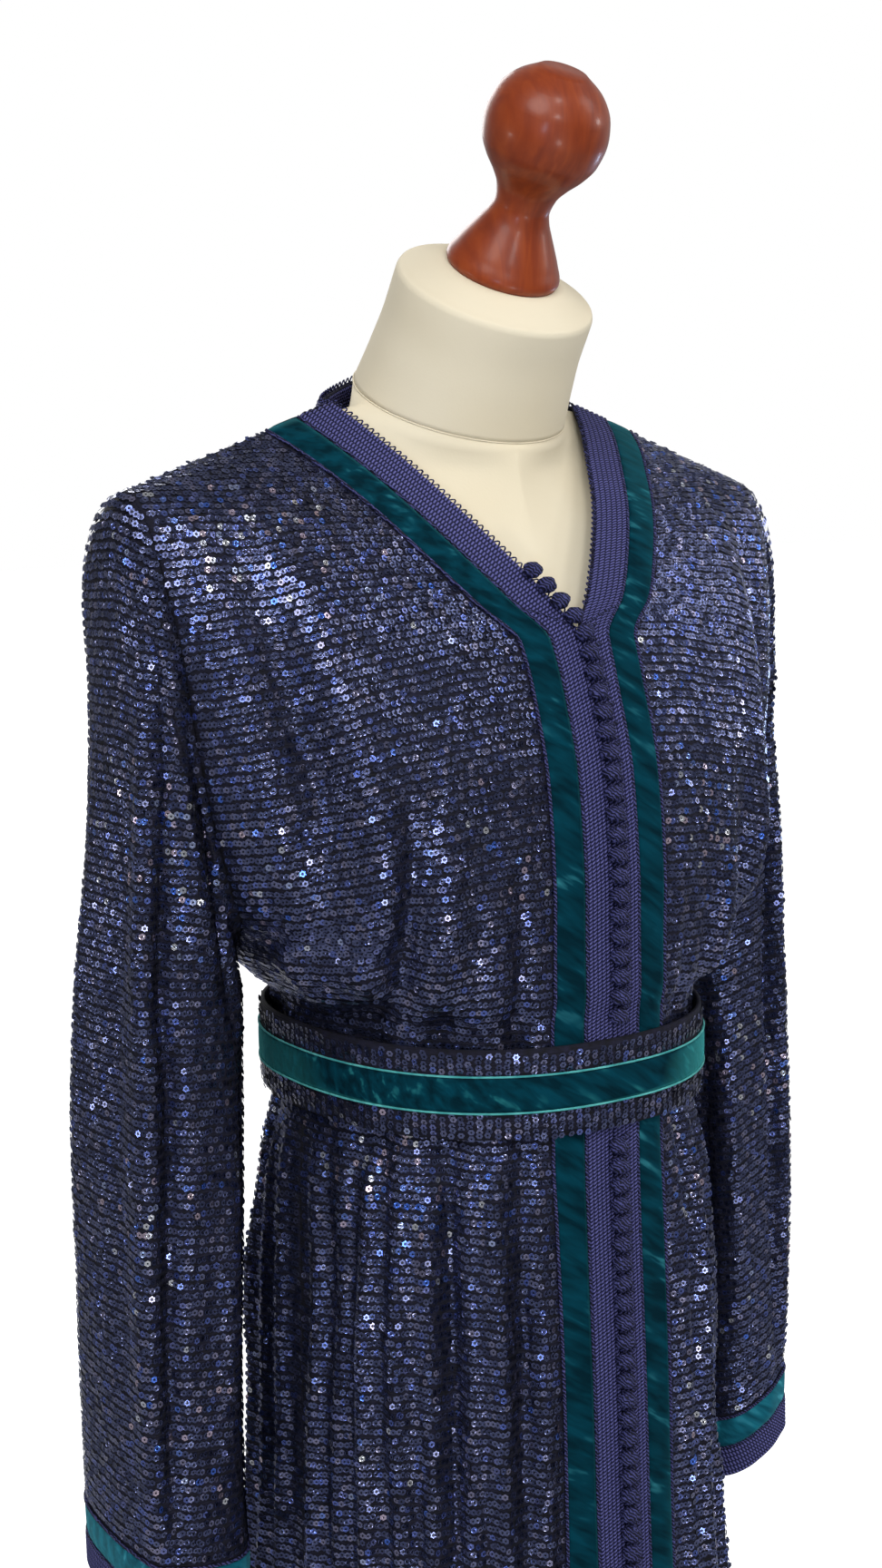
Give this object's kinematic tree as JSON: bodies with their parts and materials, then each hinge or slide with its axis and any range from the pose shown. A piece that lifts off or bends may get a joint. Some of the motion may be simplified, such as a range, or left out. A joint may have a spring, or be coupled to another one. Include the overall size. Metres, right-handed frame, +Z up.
{
  "type": "kaftan on a dress form",
  "caption": "Full-length long-sleeved sequin kaftan with velvet bands, braid, knot buttons and a belt, standing on a limbless dress form.",
  "frame": {"origin": "on the floor, under the middle of the stand's base", "axes": "+Z up, -Y the front of the kaftan, +X the wearer's left"},
  "size_m": [0.5104, 0.4499, 1.6729],
  "materials": {
    "sequin_navy": "rows of small overlapping glossy sequins on dark knit",
    "velvet_green": "crushed pile with a bright sheen at grazing angles",
    "braid_navy": "matt corded braid",
    "jersey_cream": "matt fine knit",
    "wood_turned": "red-brown gloss varnish"
  },
  "bodies": {
    "root": {"back": "sequin_navy", "front_left": "sequin_navy", "front_right": "sequin_navy", "sleeve_left": "sequin_navy", "sleeve_right": "sequin_navy", "belt_band": "sequin_navy", "belt_ribbon": "velvet_green", "velvet_back_neck": "velvet_green", "velvet_cuff_left": "velvet_green", "velvet_cuff_right": "velvet_green", "velvet_front_left": "velvet_green", "velvet_front_right": "velvet_green", "braid_back_neck": "braid_navy", "braid_cuff_left": "braid_navy", "braid_cuff_right": "braid_navy", "braid_front_left": "braid_navy", "braid_front_right": "braid_navy", "buttons_lower": "braid_navy", "buttons_upper": "braid_navy", "form_neck": "jersey_cream", "form_torso": "jersey_cream", "finial": "wood_turned", "stand_base": "wood_turned", "stand_pole": "wood_turned"}
  },
  "joints": []
}
